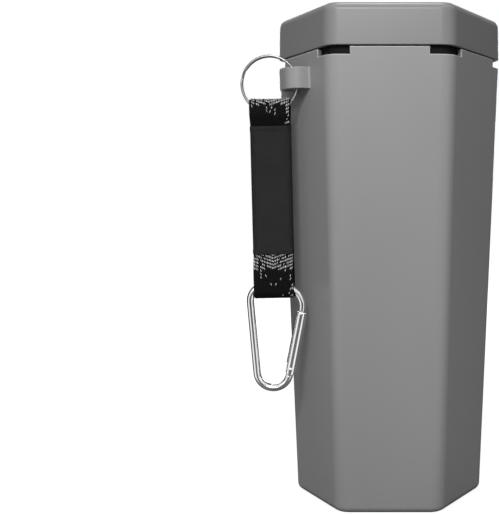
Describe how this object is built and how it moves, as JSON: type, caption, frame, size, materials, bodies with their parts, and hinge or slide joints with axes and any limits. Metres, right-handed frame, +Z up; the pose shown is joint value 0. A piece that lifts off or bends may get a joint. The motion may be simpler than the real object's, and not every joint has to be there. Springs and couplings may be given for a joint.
{
  "type": "golf ball washer",
  "caption": "Tapered hexagonal cup with a push-on lid and inner brushes; a split ring, webbing strap and carabiner hang it from a bag.",
  "frame": {"origin": "centre of the flat base", "axes": "+Z up the cup towards the lid, -Y out of the front facet, +X to the right as seen from the front"},
  "size_m": [0.1136, 0.0886, 0.2152],
  "materials": {
    "cup_plastic": "fine satin moulded grey plastic",
    "insert_plastic": "darker grey moulded plastic",
    "bristle_nylon": "off-white nylon filaments",
    "seal_rubber": "soft black silicone",
    "black_webbing": "coarse woven black polyester webbing",
    "sleeve_fabric": "smooth black woven sleeve",
    "bright_steel": "polished plated wire"
  },
  "bodies": {
    "cup": {"cup_shell": "cup_plastic", "insert_base": "insert_plastic", "insert_ring": "insert_plastic", "brush_panel_1": "insert_plastic", "brush_panel_2": "insert_plastic", "brush_panel_3": "insert_plastic", "brush_panel_4": "insert_plastic", "brush_panel_5": "insert_plastic", "brush_panel_6": "insert_plastic", "wall_bristles_1": "bristle_nylon", "wall_bristles_2": "bristle_nylon", "wall_bristles_3": "bristle_nylon", "wall_bristles_4": "bristle_nylon", "wall_bristles_5": "bristle_nylon", "wall_bristles_6": "bristle_nylon", "floor_brush_plate": "insert_plastic", "floor_bristles": "bristle_nylon"},
    "lid": {"lid_shell": "cup_plastic", "lid_plug": "insert_plastic", "lid_seal": "seal_rubber"},
    "ring": {"split_ring": "bright_steel"},
    "strap": {"webbing_strap": "black_webbing", "strap_sleeve": "sleeve_fabric"},
    "carabiner": {"carabiner_body": "bright_steel"},
    "gate": {"carabiner_gate": "bright_steel", "gate_hinge_pin": "bright_steel", "gate_latch_pin": "bright_steel", "gate_plunger": "bright_steel", "gate_spring": "bright_steel"}
  },
  "joints": [
    {"name": "lid_lift", "type": "slide", "parent": "cup", "child": "lid", "axis": [0, 0, 1], "range_m": [0, 0.08]},
    {"name": "ring_swing", "type": "hinge", "parent": "cup", "child": "ring", "pos_m": [-0.03942, -0.02697, 0.1835], "axis": [0, 0, 1], "range_deg": [-10, 35]},
    {"name": "strap_swing", "type": "hinge", "parent": "ring", "child": "strap", "pos_m": [-0.05122, -0.02697, 0.174], "axis": [-1, 0, 0], "range_deg": [-2, 24]},
    {"name": "carabiner_swing", "type": "hinge", "parent": "strap", "child": "carabiner", "pos_m": [-0.0497, -0.02697, 0.0958], "axis": [-1, 0, 0], "range_deg": [-4, 24]},
    {"name": "gate_open", "type": "hinge", "parent": "carabiner", "child": "gate", "pos_m": [-0.0429, -0.02697, 0.0606], "axis": [0, -1, 0], "range_deg": [0, 28], "stiffness_Nm_per_rad": 0.02}
  ]
}
